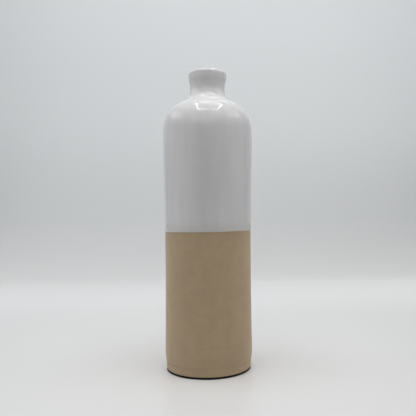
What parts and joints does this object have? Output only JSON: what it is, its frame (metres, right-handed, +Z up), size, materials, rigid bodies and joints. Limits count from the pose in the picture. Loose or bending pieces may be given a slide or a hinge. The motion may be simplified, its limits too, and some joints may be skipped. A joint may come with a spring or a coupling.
{
  "type": "bottle vase",
  "caption": "Tall slim bottle vase with a domed shoulder and a short lipped neck, white glaze above a dip line and bare buff stoneware below, on a thin rubber foot.",
  "frame": {"origin": "centre of the rubber foot's underside, on the table", "axes": "+Z up along the bottle's axis; the vase is a figure of revolution, so X and Y are free"},
  "size_m": [0.0902, 0.0902, 0.3],
  "materials": {
    "foot_rubber": "matte",
    "bare_stoneware": "matte",
    "white_glaze": "gloss"
  },
  "bodies": {
    "root": {"foot_pad": "foot_rubber", "base_slab": "bare_stoneware", "body_wall": "bare_stoneware", "shoulder": "bare_stoneware", "neck_collar": "bare_stoneware", "outer_glaze": "white_glaze", "inner_glaze": "white_glaze"}
  },
  "joints": []
}
